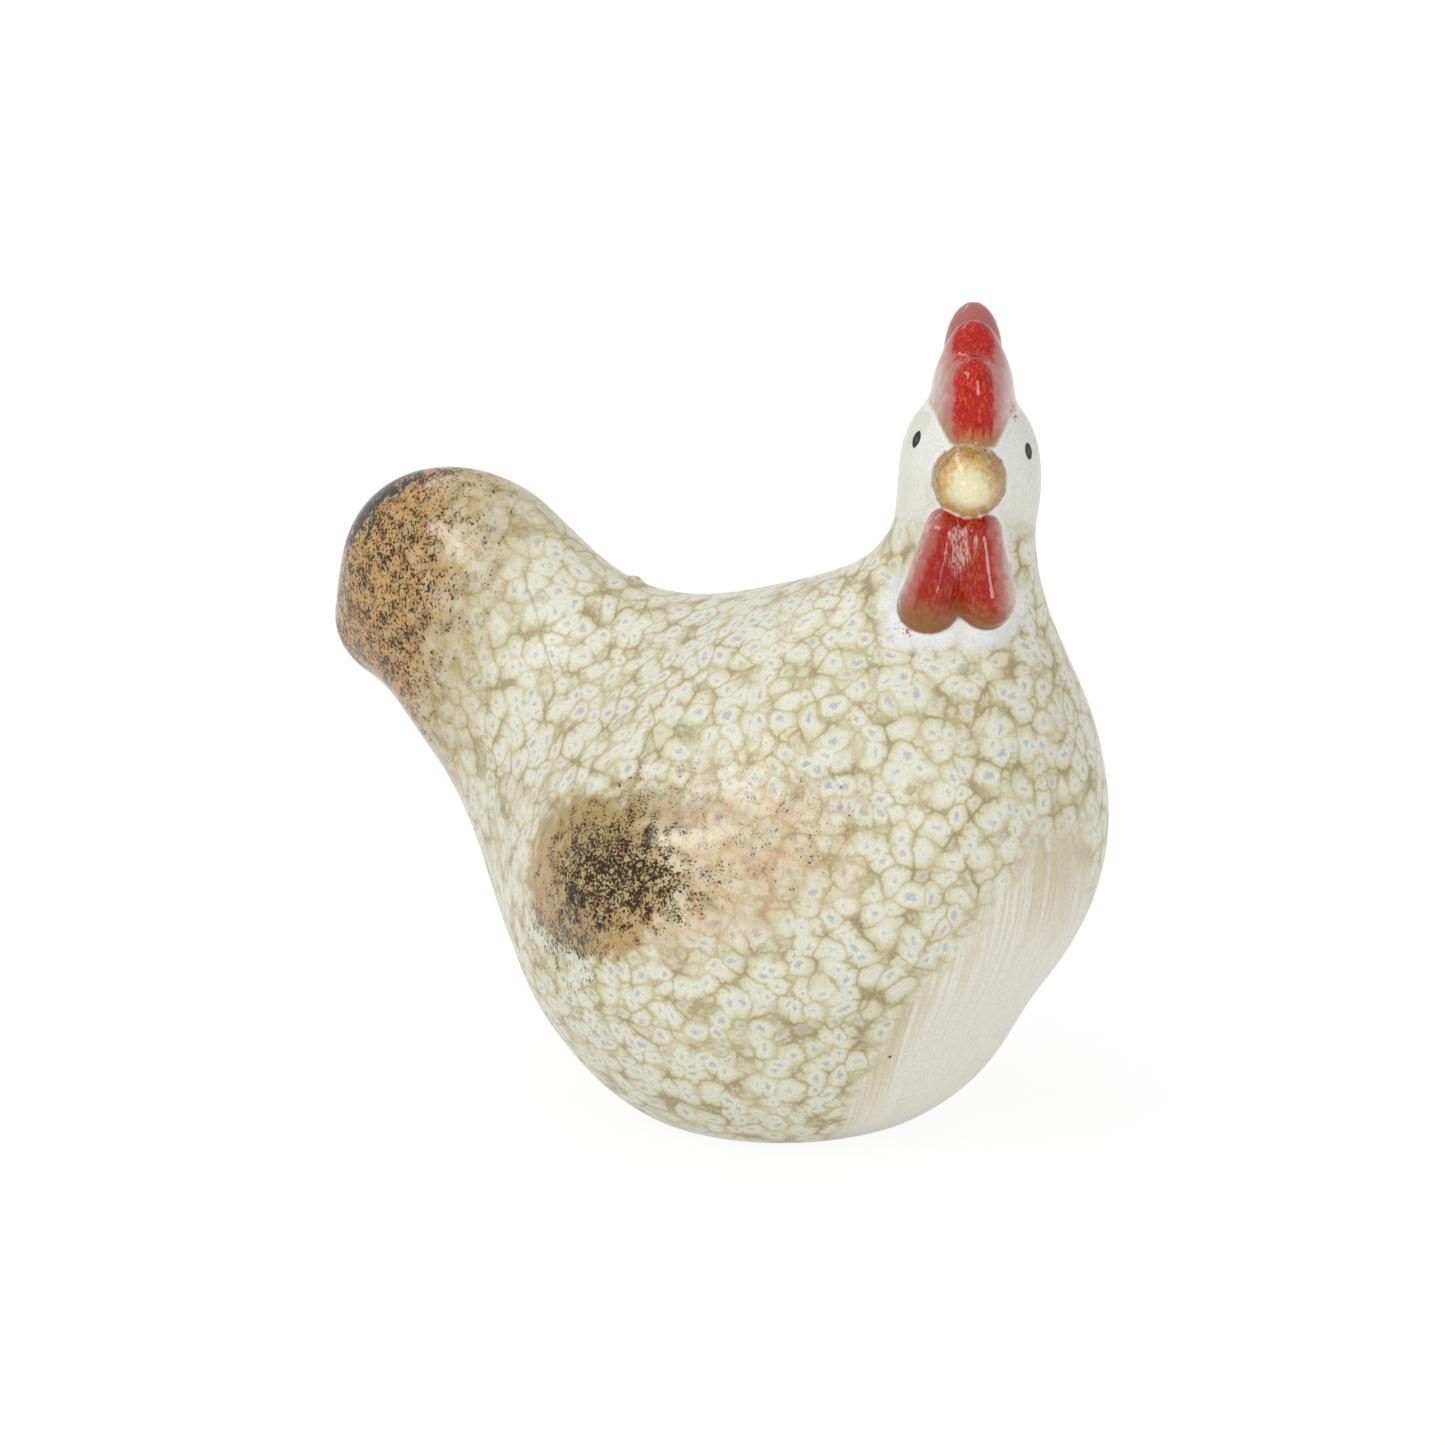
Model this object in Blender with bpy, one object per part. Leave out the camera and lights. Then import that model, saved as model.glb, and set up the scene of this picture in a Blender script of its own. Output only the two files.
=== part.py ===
"""A plump hen figurine, cast in clay as one hollow piece, glazed, and standing on a flat foot.

Metres, +Z up. The origin is the middle of the foot, on the surface that the hen stands on.
The breast faces -Y, the tail +Y and the hen's right side -X. The head is turned to the right.
Each form is a signed distance: negative inside the clay, zero on its skin.
"""

from itertools import permutations, product
from math import cos, radians, sin

import bpy
import numpy as np

# Body: belly, breast and a narrower base, which make one plump ball
BELLY_HALF_WIDTH = 0.0575
BELLY_HALF_LENGTH = 0.054
BELLY_HALF_HEIGHT = 0.053
BELLY_HEIGHT = 0.049
BELLY_BACK = 0.0035
BREAST_RADIUS = 0.050
BREAST_HEIGHT = 0.066
BREAST_FORWARD = 0.0195
BREAST_FILLET = 0.014
BASE_RADIUS = 0.0385
BASE_HALF_HEIGHT = 0.023
BASE_HEIGHT = 0.0215
BASE_FORWARD = 0.005
BASE_FILLET = 0.016

# Neck and head. The head is turned, and its face is rolled a little and sits off its middle.
NECK_FORWARD = 0.042
NECK_LEAN = 0.0025
NECK_BASE_RADIUS = 0.013
NECK_BASE_HEIGHT = 0.0925
NECK_RADIUS = 0.0134
NECK_HEIGHT = 0.1325
NECK_FILLET = 0.026
HEAD_RADIUS = 0.0135
HEAD_HEIGHT = 0.144
HEAD_FILLET = 0.008
HEAD_TURN = radians(62)
FACE_ROLL = radians(6.5)
FACE_OFFSET = -0.0005

# Tail: an upright paddle with a squared end, flattened from side to side. A round patch of it
# stands a little proud on each side, where it joins the back.
TAIL_FLATNESS = 0.62
TAIL_ROOT_RADIUS = 0.0335
TAIL_ROOT_BACK = 0.0365
TAIL_ROOT_HEIGHT = 0.064
TAIL_LOBE_RADIUS = 0.028
TAIL_LOBE_BACK = 0.075
TAIL_LOBE_HEIGHT = 0.1005
TAIL_CREST_RADIUS = 0.020
TAIL_CREST_BACK = 0.0845
TAIL_CREST_HEIGHT = 0.105
TAIL_HEEL_RADIUS = 0.0100
TAIL_HEEL_BACK = 0.0985
TAIL_HEEL_HEIGHT = 0.0932
TAIL_END_FILLET = 0.0095
TAIL_FILLET = 0.025
TAIL_PATCH_RADIUS = 0.0165
TAIL_PATCH_BACK = 0.066
TAIL_PATCH_HEIGHT = 0.102
TAIL_PATCH_PROUD = 0.0009
TAIL_PATCH_SLOPE = 0.009

# Wings: a low oval swelling on each flank
WING_HALF_LENGTH = 0.040
WING_HALF_DEPTH = 0.0215
WING_PROUD = 0.0032
WING_SLOPE = 0.015
WING_BACK = 0.001
WING_HEIGHT = 0.0625
WING_DROOP = radians(7)

# Comb: a broad leaf over the crown, with three lobes, each higher than the one before it.
# It is turned a little further than the face is.
COMB_TURN = radians(64.5)
COMB_OFFSET = 0.0004
COMB_LEAF_HALF_WIDTH = 0.0084
COMB_LEAF_HALF_LENGTH = 0.0142
COMB_LEAF_HALF_HEIGHT = 0.0108
COMB_LEAF_RISE = 0.0120
COMB_FRONT_HALF_WIDTH = 0.0054
COMB_FRONT_RISE = 0.0220
COMB_FRONT_HALF_HEIGHT = 0.0135
COMB_FRONT_PITCH = 0.0092
COMB_MIDDLE_HALF_WIDTH = 0.0064
COMB_MIDDLE_RISE = 0.0272
COMB_MIDDLE_HALF_HEIGHT = 0.0110
COMB_BACK_HALF_WIDTH = 0.0060
COMB_BACK_RISE = 0.0292
COMB_BACK_HALF_HEIGHT = 0.0110
COMB_BACK_PITCH = 0.0085
COMB_LOBE_HALF_LENGTH = 0.0060
COMB_LOBE_FAN = radians(9)
COMB_FILLET = 0.0022
COMB_BASE_FILLET = 0.0022

# Beak, and the two wattles below it. The right wattle hangs lower than the left one.
BEAK_RADIUS = 0.0071
BEAK_TIP_RADIUS = 0.0042
BEAK_LENGTH = 0.0070
BEAK_DROP = 0.0027
WATTLE_TOP_RADIUS = 0.0045
WATTLE_TOP_SPREAD = 0.0034
WATTLE_TOP_DROP = 0.0135
WATTLE_RADIUS = 0.0060
WATTLE_LEFT_SPREAD = 0.0062
WATTLE_LEFT_DROP = 0.0255
WATTLE_RIGHT_SPREAD = 0.0050
WATTLE_RIGHT_DROP = 0.0280
WATTLE_PROUD = 0.0055
WATTLE_FLARE = 0.0030
WATTLE_FILLET = 0.0015
FACE_FILLET = 0.0015

# Casting: wall, foot and the vent that lets the kiln's heat out
WALL = 0.0045
FOOT_EDGE = 0.003
FOOT_GRIND = 0.0003
VENT_RADIUS = 0.005
VENT_BACK = 0.012

# Modelling. Each cut lists the tetrahedron's edges that the skin crosses, when so many of its
# corners are inside and those are named first.
CUTS = {
    1: [(0, 1), (0, 2), (0, 3)],
    2: [(0, 2), (0, 3), (1, 3), (1, 2)],
    3: [(0, 3), (1, 3), (2, 3)],
}
SKIN_PITCH = 0.0016
SKIN_TRIANGLES = 6400
CORE_PITCH = 0.0032
CORE_TRIANGLES = 1500
MARGIN = 0.004
GLAZE = (0.73, 0.72, 0.60, 1.0)


def ball(points, centre, radius):
    return np.linalg.norm(points - centre, axis=-1) - radius


def ellipsoid(points, centre, radii, axes=np.eye(3)):
    """Close to the true distance near the skin. The rows of axes are the ellipsoid's own directions."""
    local = (points - centre) @ np.transpose(axes)
    scaled = np.linalg.norm(local / radii, axis=-1)
    slope = np.linalg.norm(local / np.square(radii), axis=-1)
    return scaled * (scaled - 1) / np.maximum(slope, 1e-6)


def tapered_bar(points, start, end, start_radius, end_radius):
    """A bar with round ends of two sizes and a straight taper between them."""
    along = np.subtract(end, start)
    length = np.linalg.norm(along)
    axis = along / length
    slope = (start_radius - end_radius) / length
    offset = points - start
    height = offset @ axis
    reach = np.linalg.norm(offset - height[..., None] * axis, axis=-1)
    shifted = np.clip((height - reach * slope / np.sqrt(1 - slope**2)) / length, 0, 1)
    centre = shifted[..., None] * along
    return np.linalg.norm(offset - centre, axis=-1) - (
        start_radius + shifted * (end_radius - start_radius)
    )


def blend(first, second, fillet):
    """Both shapes as one, with a fillet where they meet."""
    overlap = np.maximum(fillet - np.abs(first - second), 0) / fillet
    return np.minimum(first, second) - overlap**2 * fillet / 4


def trim(first, second, fillet):
    """What both shapes share, with the edge between them rounded."""
    return -blend(-first, -second, fillet)


def gradient(field, points, step=0.0001):
    """The field's slope at each point."""
    sides = [field(points + shift) - field(points - shift) for shift in step * np.eye(3)]
    return np.stack(sides, axis=-1) / (2 * step)


def head_axes(turn, roll=0.0):
    """Rows: the hen's left, straight ahead of the face, and up, with the face rolled to its right."""
    left = np.array([cos(turn), -sin(turn), 0])
    ahead = np.array([-sin(turn), -cos(turn), 0])
    up = np.array([0, 0, 1])
    return np.array([cos(roll) * left - sin(roll) * up, ahead, sin(roll) * left + cos(roll) * up])


HEAD_CENTRE = np.array([0, -NECK_FORWARD, HEAD_HEIGHT])
FACE_AXES = head_axes(HEAD_TURN, FACE_ROLL)
FACE_CENTRE = HEAD_CENTRE + FACE_OFFSET * FACE_AXES[0]
COMB_AXES = head_axes(COMB_TURN)
COMB_CENTRE = HEAD_CENTRE + COMB_OFFSET * COMB_AXES[0]


def body(points):
    belly_radii = (BELLY_HALF_WIDTH, BELLY_HALF_LENGTH, BELLY_HALF_HEIGHT)
    belly = ellipsoid(points, (0, BELLY_BACK, BELLY_HEIGHT), belly_radii)
    breast = ball(points, (0, -BREAST_FORWARD, BREAST_HEIGHT), BREAST_RADIUS)
    base_radii = (BASE_RADIUS, BASE_RADIUS, BASE_HALF_HEIGHT)
    base = ellipsoid(points, (0, -BASE_FORWARD, BASE_HEIGHT), base_radii)
    return blend(blend(belly, breast, BREAST_FILLET), base, BASE_FILLET)


def tail(points):
    flattened = points / (TAIL_FLATNESS, 1, 1)
    root = (0, TAIL_ROOT_BACK, TAIL_ROOT_HEIGHT)
    lobe = (0, TAIL_LOBE_BACK, TAIL_LOBE_HEIGHT)
    paddle = tapered_bar(flattened, root, lobe, TAIL_ROOT_RADIUS, TAIL_LOBE_RADIUS)
    crest = (0, TAIL_CREST_BACK, TAIL_CREST_HEIGHT)
    heel = (0, TAIL_HEEL_BACK, TAIL_HEEL_HEIGHT)
    end = tapered_bar(flattened, crest, heel, TAIL_CREST_RADIUS, TAIL_HEEL_RADIUS)
    return blend(paddle, end, TAIL_END_FILLET) * (1 + TAIL_FLATNESS) / 2


def neck_and_head(points):
    base = (0, NECK_LEAN - NECK_FORWARD, NECK_BASE_HEIGHT)
    top = (0, -NECK_FORWARD, NECK_HEIGHT)
    neck = tapered_bar(points, base, top, NECK_BASE_RADIUS, NECK_RADIUS)
    return blend(neck, ball(points, HEAD_CENTRE, HEAD_RADIUS), HEAD_FILLET)


def main_form(points):
    """Body, tail, neck and head: what the cast wall follows."""
    back = blend(body(points), tail(points), TAIL_FILLET)
    return blend(back, neck_and_head(points), NECK_FILLET)


def swelling(points, back, height, half_length, half_depth, slope, droop=0.0):
    """1 on an oval seen from the side, falling smoothly to 0 at its edge."""
    down, level = sin(droop), cos(droop)
    across = points[..., 1] - back, points[..., 2] - height
    along_oval = (across[0] * level - across[1] * down) / half_length
    down_oval = (across[0] * down + across[1] * level) / half_depth
    share = np.clip((1 - np.hypot(along_oval, down_oval)) * half_depth / slope, 0, 1)
    return share**2 * (3 - 2 * share)


def comb(points):
    """The leaf, then the three lobes from the forehead back, each leaning further back."""
    local = (points - COMB_CENTRE) @ COMB_AXES.T
    leaf_radii = (COMB_LEAF_HALF_WIDTH, COMB_LEAF_HALF_LENGTH, COMB_LEAF_HALF_HEIGHT)
    shape = ellipsoid(local, (0, 0, COMB_LEAF_RISE), leaf_radii)
    lobes = (
        (COMB_FRONT_PITCH, COMB_FRONT_HALF_WIDTH, COMB_FRONT_HALF_HEIGHT, COMB_FRONT_RISE),
        (0, COMB_MIDDLE_HALF_WIDTH, COMB_MIDDLE_HALF_HEIGHT, COMB_MIDDLE_RISE),
        (-COMB_BACK_PITCH, COMB_BACK_HALF_WIDTH, COMB_BACK_HALF_HEIGHT, COMB_BACK_RISE),
    )
    for ahead, half_width, half_height, rise in lobes:
        lean = np.sign(ahead) * COMB_LOBE_FAN
        radii = (half_width, COMB_LOBE_HALF_LENGTH, half_height)
        axes = [(1, 0, 0), (0, cos(lean), -sin(lean)), (0, sin(lean), cos(lean))]
        lobe = ellipsoid(local, (0, ahead, rise - half_height), radii, axes)
        shape = blend(shape, lobe, COMB_FILLET)
    return shape


def beak(points):
    local = (points - FACE_CENTRE) @ FACE_AXES.T
    start = (0, HEAD_RADIUS, -BEAK_DROP)
    tip = (0, HEAD_RADIUS + BEAK_LENGTH, -BEAK_DROP)
    return tapered_bar(local, start, tip, BEAK_RADIUS, BEAK_TIP_RADIUS)


def wattles(points):
    """Two drops that hang side by side from below the beak."""
    local = (points - FACE_CENTRE) @ FACE_AXES.T
    top_ahead = HEAD_RADIUS + WATTLE_PROUD - WATTLE_TOP_RADIUS
    low_ahead = HEAD_RADIUS + WATTLE_PROUD + WATTLE_FLARE - WATTLE_RADIUS
    pair = []
    for side, drop in ((WATTLE_LEFT_SPREAD, WATTLE_LEFT_DROP), (-WATTLE_RIGHT_SPREAD, WATTLE_RIGHT_DROP)):
        top = (np.copysign(WATTLE_TOP_SPREAD, side), top_ahead, -WATTLE_TOP_DROP)
        low = (side, low_ahead, -drop)
        pair.append(tapered_bar(local, top, low, WATTLE_TOP_RADIUS, WATTLE_RADIUS))
    return blend(*pair, WATTLE_FILLET)


def cast_form(points):
    """The outside of the casting, down to just below its foot."""
    wing = swelling(
        points, WING_BACK, WING_HEIGHT, WING_HALF_LENGTH, WING_HALF_DEPTH, WING_SLOPE, WING_DROOP
    )
    patch = swelling(
        points, TAIL_PATCH_BACK, TAIL_PATCH_HEIGHT, TAIL_PATCH_RADIUS, TAIL_PATCH_RADIUS, TAIL_PATCH_SLOPE
    )
    shape = main_form(points) - WING_PROUD * wing - TAIL_PATCH_PROUD * patch
    shape = blend(shape, comb(points), COMB_BASE_FILLET)
    for feature in (beak, wattles):
        shape = blend(shape, feature(points), FACE_FILLET)
    return trim(shape, -FOOT_GRIND - points[..., 2], FOOT_EDGE)


def core_form(points):
    """The hollow that is left when the spare slip is poured out: one wall inside the main form."""
    slope = np.linalg.norm(gradient(main_form, points), axis=-1)
    depth = main_form(points) / np.maximum(slope, 1e-6)
    return trim(depth + WALL, WALL - points[..., 2], FOOT_EDGE)


def parity(orders):
    """1 where an order of corners is an even permutation, -1 where it is odd."""
    orders = np.asarray(orders)
    return np.linalg.det(np.eye(orders.shape[-1])[orders])


def skin_of(field, low, high, pitch):
    """Points, triangles and quads on the field's zero surface, from a grid of cubes.

    Each cube is six tetrahedra, one for each order of the three axes. The surface cuts a
    tetrahedron in a triangle or a quad, so the skin is closed wherever it is inside the grid.
    """
    counts = np.ceil((high - low) / pitch).astype(int) + 1
    corners = (low + pitch * np.moveaxis(np.indices(counts), 0, -1)).reshape(-1, 3)
    depth = field(corners)
    inside = (depth < 0).reshape(counts)
    number = np.arange(depth.size).reshape(counts)
    strides = np.array([counts[1] * counts[2], counts[2], 1])
    ends = [slice(None, -1), slice(1, None)]
    filled = sum(inside[corner].astype(int) for corner in product(ends, repeat=3))
    cubes = number[:-1, :-1, :-1][(filled > 0) & (filled < 8)]
    pieces = {1: [], 2: [], 3: []}
    for order in permutations(range(3)):
        solids = cubes[:, None] + np.cumsum([0, *strides[list(order)]])
        outside = depth[solids] >= 0
        rank = np.argsort(outside, axis=1, kind="stable")
        solids = np.take_along_axis(solids, rank, axis=1)
        turned = parity(rank) * parity(order) < 0
        for inner, cuts in CUTS.items():
            chosen = outside.sum(axis=1) == 4 - inner
            cut = solids[chosen][:, cuts]
            flip = turned[chosen][:, None, None]
            pieces[inner].append(np.where(flip, cut[:, ::-1], cut))
    faces = [np.concatenate(pieces[inner]) for inner in pieces]
    spans = np.sort(np.concatenate([face.reshape(-1, 2) for face in faces]), axis=1)
    _, first, index = np.unique(
        spans[:, 0] * depth.size + spans[:, 1], return_index=True, return_inverse=True
    )
    start, end = spans[first].T
    share = (depth[start] / (depth[start] - depth[end]))[:, None]
    points = corners[start] + share * (corners[end] - corners[start])
    sizes = np.cumsum([face.shape[0] * face.shape[1] for face in faces])
    ones, twos, threes = np.split(index.reshape(-1), sizes[:-1])
    return points, np.concatenate([ones.reshape(-1, 3), threes.reshape(-1, 3)]), twos.reshape(-1, 4)


def settled(points, field, rounds=3):
    """The points moved along the field's slope until they lie on its zero surface."""
    for _ in range(rounds):
        slope = gradient(field, points)
        points = points - slope * (field(points) / np.sum(slope**2, axis=-1))[:, None]
    return points


def skin_object(name, field, low, high, pitch, triangles):
    """A closed mesh of the field's skin, thinned to about the number of triangles asked for."""
    points, corners, quads = skin_of(field, low, high, pitch)
    mesh = bpy.data.meshes.new(name)
    mesh.from_pydata(settled(points, field).tolist(), [], corners.tolist() + quads.tolist())
    mesh.shade_smooth()
    skin = bpy.data.objects.new(name, mesh)
    bpy.context.scene.collection.objects.link(skin)
    thinning = skin.modifiers.new("thinned", "DECIMATE")
    thinning.ratio = triangles / (len(corners) + 2 * len(quads))
    return skin


def as_cutter(cutter, target):
    cutter.hide_render = True
    cutter.display_type = "WIRE"
    cut = target.modifiers.new(cutter.name, "BOOLEAN")
    cut.operation = "DIFFERENCE"
    cut.object = cutter


def last_object(name):
    made = bpy.context.object
    made.name = name
    return made


for old in list(bpy.data.objects):
    bpy.data.objects.remove(old)

reach_side = BELLY_HALF_WIDTH + WING_PROUD + MARGIN
reach_ahead = BREAST_FORWARD + BREAST_RADIUS + MARGIN
reach_back = max(TAIL_CREST_BACK + TAIL_CREST_RADIUS, TAIL_HEEL_BACK + TAIL_HEEL_RADIUS) + MARGIN
reach_up = HEAD_HEIGHT + COMB_BACK_RISE + MARGIN
box_low = np.array([-reach_side, -reach_ahead, -MARGIN])
box_high = np.array([reach_side, reach_back, reach_up])

hen = skin_object("hen", cast_form, box_low, box_high, SKIN_PITCH, SKIN_TRIANGLES)

bpy.ops.mesh.primitive_cube_add(size=1, location=(0, 0, -MARGIN))
ground = last_object("ground_flat")
ground.dimensions = (2 * reach_side, 2 * reach_back, 2 * MARGIN)
as_cutter(ground, hen)

core = skin_object("slip_core", core_form, box_low, box_high, CORE_PITCH, CORE_TRIANGLES)
as_cutter(core, hen)

bpy.ops.mesh.primitive_cylinder_add(
    vertices=32, radius=VENT_RADIUS, depth=4 * WALL, location=(0, VENT_BACK, 0)
)
as_cutter(last_object("vent"), hen)

clay = bpy.data.materials.new("glazed earthenware")
clay.use_nodes = True
surface = clay.node_tree.nodes["Principled BSDF"]
surface.inputs["Base Color"].default_value = GLAZE
surface.inputs["Roughness"].default_value = 0.3
surface.inputs["Metallic"].default_value = 0.0
hen.data.materials.append(clay)
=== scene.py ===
from functools import partial
from math import cos, radians, sin

import bpy
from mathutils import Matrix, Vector


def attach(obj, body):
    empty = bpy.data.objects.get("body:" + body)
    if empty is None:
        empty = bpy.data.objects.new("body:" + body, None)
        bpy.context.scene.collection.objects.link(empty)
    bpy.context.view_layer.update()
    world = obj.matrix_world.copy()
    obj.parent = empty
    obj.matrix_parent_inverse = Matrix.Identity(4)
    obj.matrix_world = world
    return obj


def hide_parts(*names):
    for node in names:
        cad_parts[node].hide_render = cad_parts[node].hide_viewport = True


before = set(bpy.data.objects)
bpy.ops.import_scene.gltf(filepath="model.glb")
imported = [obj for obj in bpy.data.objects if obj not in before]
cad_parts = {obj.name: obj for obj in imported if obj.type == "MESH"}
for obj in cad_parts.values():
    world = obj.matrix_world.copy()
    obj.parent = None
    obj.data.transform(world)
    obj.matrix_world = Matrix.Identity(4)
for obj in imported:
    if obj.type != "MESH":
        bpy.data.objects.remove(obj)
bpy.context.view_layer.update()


# The hen is one hollow casting of fine white earthenware. Liquid clay was poured into a mould and
# out again once a 4.5 mm wall had set, so the outside is the mould's smooth form and the inside
# follows it one wall further in. Sizes are in mm, as the distance from the clay's surface is.


def add_node(tree, kind, feeds=(), output=0, **settings):
    """Adds a node with its settings, feeds its inputs by place or name, and gives one output."""
    node = tree.nodes.new(kind)
    for name, value in settings.items():
        setattr(node, name, value)
    for key, feed in feeds.items() if isinstance(feeds, dict) else enumerate(feeds):
        if isinstance(feed, bpy.types.NodeSocket):
            tree.links.new(feed, node.inputs[key])
        elif feed is not None:
            node.inputs[key].default_value = feed
    return node.outputs[output]


def start_tree(name, tree_kind, inputs, outputs):
    """A node tree with named inputs and outputs, what adds its nodes, and its inputs."""
    tree = bpy.data.node_groups.new(name, tree_kind)
    for side, sockets in (("INPUT", inputs), ("OUTPUT", outputs)):
        for socket, kind in sockets.items():
            tree.interface.new_socket(socket, in_out=side, socket_type="NodeSocket" + kind)
    given = tree.nodes.new("NodeGroupInput").outputs
    return tree, partial(add_node, tree), given


def end_tree(tree, results):
    """Links a tree's results to its named outputs."""
    end = tree.nodes.new("NodeGroupOutput")
    for name, result in results.items():
        tree.links.new(result, end.inputs[name])


def clay_form(name, sizes):
    """An empty form: a tree that takes a place and sizes, and gives the distance to its surface."""
    return start_tree(name, "GeometryNodeTree", {"Place": "Vector", **sizes}, {"Distance": "Float"})


egg, node, size = clay_form("egg of clay", {"Middle": "Vector", "Half sizes": "Vector"})
offset = node("ShaderNodeVectorMath", [size["Place"], size["Middle"]], operation="SUBTRACT")
share = node("ShaderNodeVectorMath", [offset, size["Half sizes"]], operation="DIVIDE")
steepness = node("ShaderNodeVectorMath", [share, size["Half sizes"]], operation="DIVIDE")
reach = node("ShaderNodeVectorMath", [share], output="Value", operation="LENGTH")
slope = node("ShaderNodeVectorMath", [steepness], output="Value", operation="LENGTH")
beyond = node("ShaderNodeMath", [reach, 1.0], operation="SUBTRACT")
scaled = node("ShaderNodeMath", [reach, beyond], operation="MULTIPLY")
end_tree(egg, {"Distance": node("ShaderNodeMath", [scaled, slope], operation="DIVIDE")})

rolled_bar, node, size = clay_form(
    "rolled bar of clay",
    {"Start": "Vector", "End": "Vector", "Start radius": "Float", "End radius": "Float"},
)
along = node("ShaderNodeVectorMath", [size["End"], size["Start"]], operation="SUBTRACT")
length = node("ShaderNodeVectorMath", [along], output="Value", operation="LENGTH")
axis = node("ShaderNodeVectorMath", [along], operation="NORMALIZE")
growth = node("ShaderNodeMath", [size["End radius"], size["Start radius"]], operation="SUBTRACT")
taper = node("ShaderNodeMath", [growth, length], operation="DIVIDE")
squared = node("ShaderNodeMath", [taper, taper], operation="MULTIPLY")
level = node("ShaderNodeMath", [1.0, squared], operation="SUBTRACT")
level = node("ShaderNodeMath", [level], operation="SQRT")
pull = node("ShaderNodeMath", [taper, level], operation="DIVIDE")
offset = node("ShaderNodeVectorMath", [size["Place"], size["Start"]], operation="SUBTRACT")
height = node("ShaderNodeVectorMath", [offset, axis], output="Value", operation="DOT_PRODUCT")
on_axis = node("ShaderNodeVectorMath", {0: axis, "Scale": height}, operation="SCALE")
reach = node("ShaderNodeVectorMath", [offset, on_axis], output="Value", operation="DISTANCE")
shifted = node("ShaderNodeMath", [reach, pull, height], operation="MULTIPLY_ADD")
shifted = node("ShaderNodeMath", [shifted, length], operation="DIVIDE", use_clamp=True)
centre = node("ShaderNodeVectorMath", {0: along, "Scale": shifted}, operation="SCALE")
reach = node("ShaderNodeVectorMath", [offset, centre], output="Value", operation="DISTANCE")
radius = node("ShaderNodeMath", [shifted, growth, size["Start radius"]], operation="MULTIPLY_ADD")
end_tree(rolled_bar, {"Distance": node("ShaderNodeMath", [reach, radius], operation="SUBTRACT")})

fillet_join, node, size = start_tree(
    "fillet join",
    "GeometryNodeTree",
    {"First": "Float", "Second": "Float", "Fillet": "Float"},
    {"Distance": "Float"},
)
apart = node("ShaderNodeMath", [size["First"], size["Second"]], operation="SUBTRACT")
apart = node("ShaderNodeMath", [apart], operation="ABSOLUTE")
overlap = node("ShaderNodeMath", [size["Fillet"], apart], operation="SUBTRACT")
overlap = node("ShaderNodeMath", [overlap, 0.0], operation="MAXIMUM")
squared = node("ShaderNodeMath", [overlap, overlap], operation="MULTIPLY")
filling = node("ShaderNodeMath", [squared, size["Fillet"]], operation="DIVIDE")
nearest = node("ShaderNodeMath", [size["First"], size["Second"]], operation="MINIMUM")
end_tree(
    fillet_join,
    {"Distance": node("ShaderNodeMath", [filling, -0.25, nearest], operation="MULTIPLY_ADD")},
)

skin_of_form, node, size = start_tree(
    "skin of a form",
    "GeometryNodeTree",
    {"Distance": "Float", "Low": "Vector", "High": "Vector", "Pitch": "Float"},
    {"Skin": "Geometry"},
)
metre = 1000.0  # in mm
far_outside = -5.0  # the density beyond the box, well clear of the clay
density = node("ShaderNodeMath", [size["Distance"], -1.0], operation="MULTIPLY")
span = node("ShaderNodeVectorMath", [size["High"], size["Low"]], operation="SUBTRACT")
per_pitch = node("ShaderNodeMath", [1.0, size["Pitch"]], operation="DIVIDE")
counts = node("ShaderNodeVectorMath", {0: span, "Scale": per_pitch}, operation="SCALE")
low = node("ShaderNodeVectorMath", {0: size["Low"], "Scale": 1 / metre}, operation="SCALE")
high = node("ShaderNodeVectorMath", {0: size["High"], "Scale": 1 / metre}, operation="SCALE")
split = node("ShaderNodeSeparateXYZ", [counts]).node.outputs
volume = node(
    "GeometryNodeVolumeCube",
    {
        "Density": density,
        "Background": far_outside,
        "Min": low,
        "Max": high,
        "Resolution X": split["X"],
        "Resolution Y": split["Y"],
        "Resolution Z": split["Z"],
    },
)
skin = node("GeometryNodeVolumeToMesh", {"Volume": volume, "Threshold": 0.0}, resolution_mode="GRID")
end_tree(skin_of_form, {"Skin": skin})

casting, node, size = start_tree(
    "hen casting",
    "GeometryNodeTree",
    {
        "Low corner": "Vector",
        "High corner": "Vector",
        "Skin pitch": "Float",
        "Core pitch": "Float",
        "Wall": "Float",
        "Foot edge": "Float",
        "Vent radius": "Float",
        "Vent place": "Vector",
        "Finish": "Material",
    },
    {"Hen": "Geometry"},
)
position = node("GeometryNodeInputPosition")
place = node("ShaderNodeVectorMath", {0: position, "Scale": metre}, operation="SCALE")
height = node("ShaderNodeSeparateXYZ", [place], output="Z")


def form(kind, *sizes, at=place):
    """The distance to one form of clay, from the hen's own place or a turned one."""
    return node("GeometryNodeGroup", [at, *sizes], node_tree=kind)


def join(first, second, fillet):
    """Two shapes as one, with a fillet of this size where they meet."""
    return node("GeometryNodeGroup", [first, second, fillet], node_tree=fillet_join)


def trim(first, second, edge):
    """What both shapes share, with the edge between them rounded."""
    outside = [node("ShaderNodeMath", [shape, -1.0], operation="MULTIPLY") for shape in (first, second)]
    return node("ShaderNodeMath", [join(*outside, edge), -1.0], operation="MULTIPLY")


belly = form(egg, (0, 3.5, 49), (57.5, 54, 53))
breast = form(egg, (0, -19.5, 66), (50, 50, 50))
base = form(egg, (0, -5, 21.5), (38.5, 38.5, 23))
body = join(join(belly, breast, 14), base, 16)

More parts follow.
